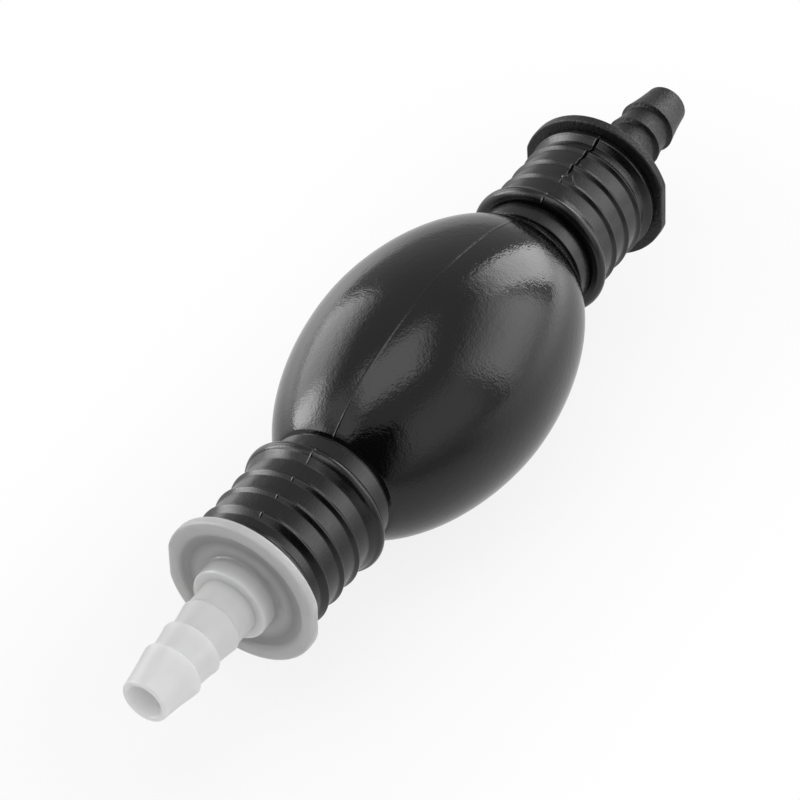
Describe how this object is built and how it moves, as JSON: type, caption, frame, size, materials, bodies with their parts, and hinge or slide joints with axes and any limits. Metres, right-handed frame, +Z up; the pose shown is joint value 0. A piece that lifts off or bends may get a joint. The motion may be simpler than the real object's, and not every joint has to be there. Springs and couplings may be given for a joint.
{
  "type": "siphon bulb pump",
  "caption": "Hand squeeze bulb pump with ribbed necks, two flanged barbed hose fittings and a sprung check valve inside each fitting.",
  "frame": {"origin": "middle of the bulb, on the pump's axis", "axes": "+X along the pump, from the inlet to the outlet, the way the liquid runs; +Z up with the pump lying level"},
  "size_m": [0.1744, 0.0454, 0.0454],
  "materials": {
    "bulb_rubber": "black rubber, glossy on the bulb and satin on the necks",
    "natural_plastic": "milky translucent moulded plastic, satin",
    "black_plastic": "black moulded plastic, matte",
    "valve_plastic": "off-white moulded plastic",
    "seal_rubber": "dark matte rubber",
    "spring_steel": "drawn stainless wire"
  },
  "bodies": {
    "pump": {"bulb": "bulb_rubber", "inlet_fitting": "natural_plastic", "inlet_valve_cage": "valve_plastic", "inlet_spring": "spring_steel", "outlet_fitting": "black_plastic", "outlet_valve_seat": "black_plastic", "outlet_spring": "spring_steel"},
    "inlet_valve": {"inlet_poppet": "valve_plastic", "inlet_poppet_seal": "seal_rubber"},
    "outlet_valve": {"outlet_poppet": "valve_plastic", "outlet_poppet_seal": "seal_rubber"}
  },
  "joints": [
    {"name": "inlet_valve_slide", "type": "slide", "parent": "pump", "child": "inlet_valve", "axis": [1, 0, 0], "range_m": [0, 0.0022], "stiffness_N_per_m": 15, "springref_m": -0.002, "deforming": ["inlet_spring"]},
    {"name": "outlet_valve_slide", "type": "slide", "parent": "pump", "child": "outlet_valve", "axis": [1, 0, 0], "range_m": [0, 0.0022], "stiffness_N_per_m": 15, "springref_m": -0.002, "deforming": ["outlet_spring"]}
  ]
}
